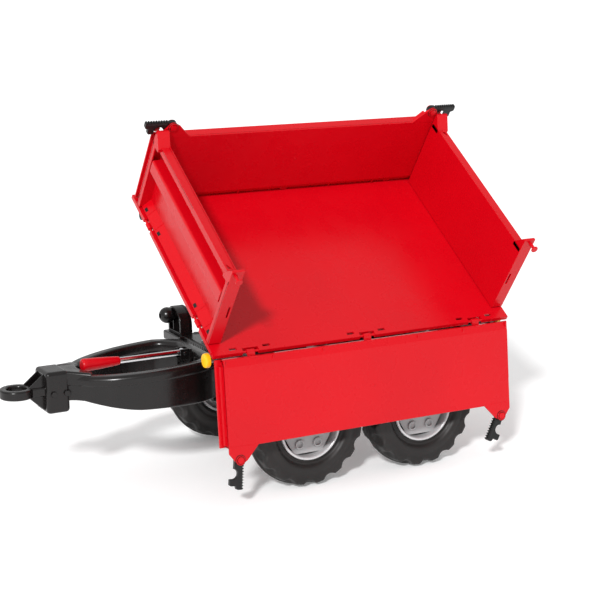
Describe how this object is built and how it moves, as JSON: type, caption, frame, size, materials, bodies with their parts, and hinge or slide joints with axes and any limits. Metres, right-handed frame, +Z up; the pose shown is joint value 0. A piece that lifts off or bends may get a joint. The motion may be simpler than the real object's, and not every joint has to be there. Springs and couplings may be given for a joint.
{
  "type": "ride-on tipping trailer",
  "caption": "Toy tipping trailer for a pedal tractor: box tips sideways on pivot balls, folding side boards with hook latches, tandem wheels, drawbar loop with tow eye.",
  "frame": {"origin": "centre of the tow eye's bore, halfway through the eye plate", "axes": "+X forward along the drawbar, +Y to the trailer's left, +Z up along the tow eye's bore"},
  "size_m": [0.951, 0.5348, 0.6609],
  "materials": {
    "red_gloss": "smooth glossy moulded plastic",
    "chassis_black": "satin moulded plastic",
    "latch_black": "satin moulded plastic",
    "tyre_black": "matt tread, slightly shiny sidewall",
    "rim_silver": "silver-grey moulded plastic",
    "cap_grey": "silver-grey moulded plastic",
    "yellow": "smooth moulded plastic",
    "lever_chrome": "polished plating",
    "steel": "zinc-plated steel"
  },
  "bodies": {
    "chassis": {"chassis_frame": "chassis_black", "tow_coupler": "chassis_black", "coupler_bolt_front": "steel", "coupler_bolt_rear": "steel", "front_bolster": "chassis_black", "rear_bolster": "chassis_black", "bolster_screw_front_left": "steel", "bolster_screw_front_right": "steel", "bolster_screw_rear_left": "steel", "bolster_screw_rear_right": "steel", "strut_base": "steel", "lever_bracket": "steel", "lever_pin": "lever_chrome", "front_axle": "steel", "rear_axle": "steel", "axle_cap_front_left": "cap_grey", "axle_cap_front_right": "cap_grey", "axle_cap_rear_left": "cap_grey", "axle_cap_rear_right": "cap_grey"},
    "box": {"floor_plate": "red_gloss", "front_board": "red_gloss", "rear_board": "red_gloss", "pivot_saddle_front_left": "latch_black", "pivot_saddle_front_right": "latch_black", "pivot_saddle_rear_left": "latch_black", "pivot_saddle_rear_right": "latch_black"},
    "left_board": {"left_board": "red_gloss", "rivet_left_front": "red_gloss", "rivet_left_rear": "red_gloss"},
    "right_board": {"right_board": "red_gloss", "rivet_right_front": "red_gloss", "rivet_right_rear": "red_gloss"},
    "latch_left_front": {"latch_left_front": "latch_black"},
    "latch_left_rear": {"latch_left_rear": "latch_black"},
    "latch_right_front": {"latch_right_front": "latch_black"},
    "latch_right_rear": {"latch_right_rear": "latch_black"},
    "wheel_front_left": {"tyre_front_left": "tyre_black", "rim_front_left": "rim_silver"},
    "wheel_front_right": {"tyre_front_right": "tyre_black", "rim_front_right": "rim_silver"},
    "wheel_rear_left": {"tyre_rear_left": "tyre_black", "rim_rear_left": "rim_silver"},
    "wheel_rear_right": {"tyre_rear_right": "tyre_black", "rim_rear_right": "rim_silver"},
    "strut_base_tube": {"strut_outer": "steel"},
    "strut_middle_tube": {"strut_middle": "steel"},
    "strut_inner_tube": {"strut_inner": "steel"},
    "tip_lever": {"lever_bar": "lever_chrome", "lever_grip": "red_gloss"},
    "lock_pin_front": {"lock_pin_front": "yellow"},
    "lock_pin_rear": {"lock_pin_rear": "yellow"}
  },
  "joints": [
    {"name": "box_tip", "type": "hinge", "parent": "chassis", "child": "box", "pos_m": [-0.59, 0.187, 0.063], "axis": [1, 0, 0], "range_deg": [0, 35]},
    {"name": "left_board_fold", "type": "hinge", "parent": "box", "child": "left_board", "pos_m": [-0.59, 0.21715, 0.07729], "axis": [1, 0, 0], "range_deg": [0, 139.5]},
    {"name": "right_board_fold", "type": "hinge", "parent": "box", "child": "right_board", "pos_m": [-0.59, -0.11625, 0.31074], "axis": [1, 0, 0], "range_deg": [0, 139.5]},
    {"name": "latch_left_front_turn", "type": "hinge", "parent": "left_board", "child": "latch_left_front", "pos_m": [-0.313, 0.24702, -0.10569], "axis": [0, -0.9954, -0.0958], "range_deg": [-30, 84]},
    {"name": "latch_left_rear_turn", "type": "hinge", "parent": "left_board", "child": "latch_left_rear", "pos_m": [-0.867, 0.24702, -0.10569], "axis": [0, 0.9954, 0.0958], "range_deg": [-10, 119]},
    {"name": "latch_right_front_turn", "type": "hinge", "parent": "right_board", "child": "latch_right_front", "pos_m": [-0.313, -0.00014, 0.45528], "axis": [0, -0.8192, 0.5736], "range_deg": [0, 100]},
    {"name": "latch_right_rear_turn", "type": "hinge", "parent": "right_board", "child": "latch_right_rear", "pos_m": [-0.867, -0.00014, 0.45528], "axis": [0, 0.8192, -0.5736], "range_deg": [0, 100]},
    {"name": "wheel_front_left_spin", "type": "hinge", "parent": "chassis", "child": "wheel_front_left", "pos_m": [-0.48, 0.177, -0.083], "axis": [0, 1, 0], "continuous": true},
    {"name": "wheel_front_right_spin", "type": "hinge", "parent": "chassis", "child": "wheel_front_right", "pos_m": [-0.48, -0.177, -0.083], "axis": [0, 1, 0], "continuous": true},
    {"name": "wheel_rear_left_spin", "type": "hinge", "parent": "chassis", "child": "wheel_rear_left", "pos_m": [-0.722, 0.177, -0.083], "axis": [0, 1, 0], "continuous": true},
    {"name": "wheel_rear_right_spin", "type": "hinge", "parent": "chassis", "child": "wheel_rear_right", "pos_m": [-0.722, -0.177, -0.083], "axis": [0, 1, 0], "continuous": true},
    {"name": "strut_tilt", "type": "hinge", "parent": "chassis", "child": "strut_base_tube", "pos_m": [-0.601, 0, -0.076], "axis": [1, 0, 0], "range_deg": [0, 7.75]},
    {"name": "strut_middle_slide", "type": "slide", "parent": "strut_base_tube", "child": "strut_middle_tube", "axis": [0, 0.1347, 0.9909], "range_m": [-0.05487, 0]},
    {"name": "strut_inner_slide", "type": "slide", "parent": "strut_middle_tube", "child": "strut_inner_tube", "axis": [0, 0.1347, 0.9909], "range_m": [-0.05487, 0]},
    {"name": "tip_lever_lift", "type": "hinge", "parent": "chassis", "child": "tip_lever", "pos_m": [-0.3215, 0, 0.034], "axis": [0, -1, 0], "range_deg": [0, 35]},
    {"name": "lock_pin_front_slide", "type": "slide", "parent": "box", "child": "lock_pin_front", "axis": [1, 0, 0], "range_m": [0, 0.037]},
    {"name": "lock_pin_rear_slide", "type": "slide", "parent": "box", "child": "lock_pin_rear", "axis": [-1, 0, 0], "range_m": [0, 0.037]}
  ],
  "couplings": [
    {"joint": "strut_tilt", "follows": "box_tip", "ratio": 0.22114},
    {"joint": "strut_middle_slide", "follows": "box_tip", "m_per_rad": -0.089791},
    {"joint": "strut_inner_slide", "follows": "box_tip", "m_per_rad": -0.089791}
  ]
}
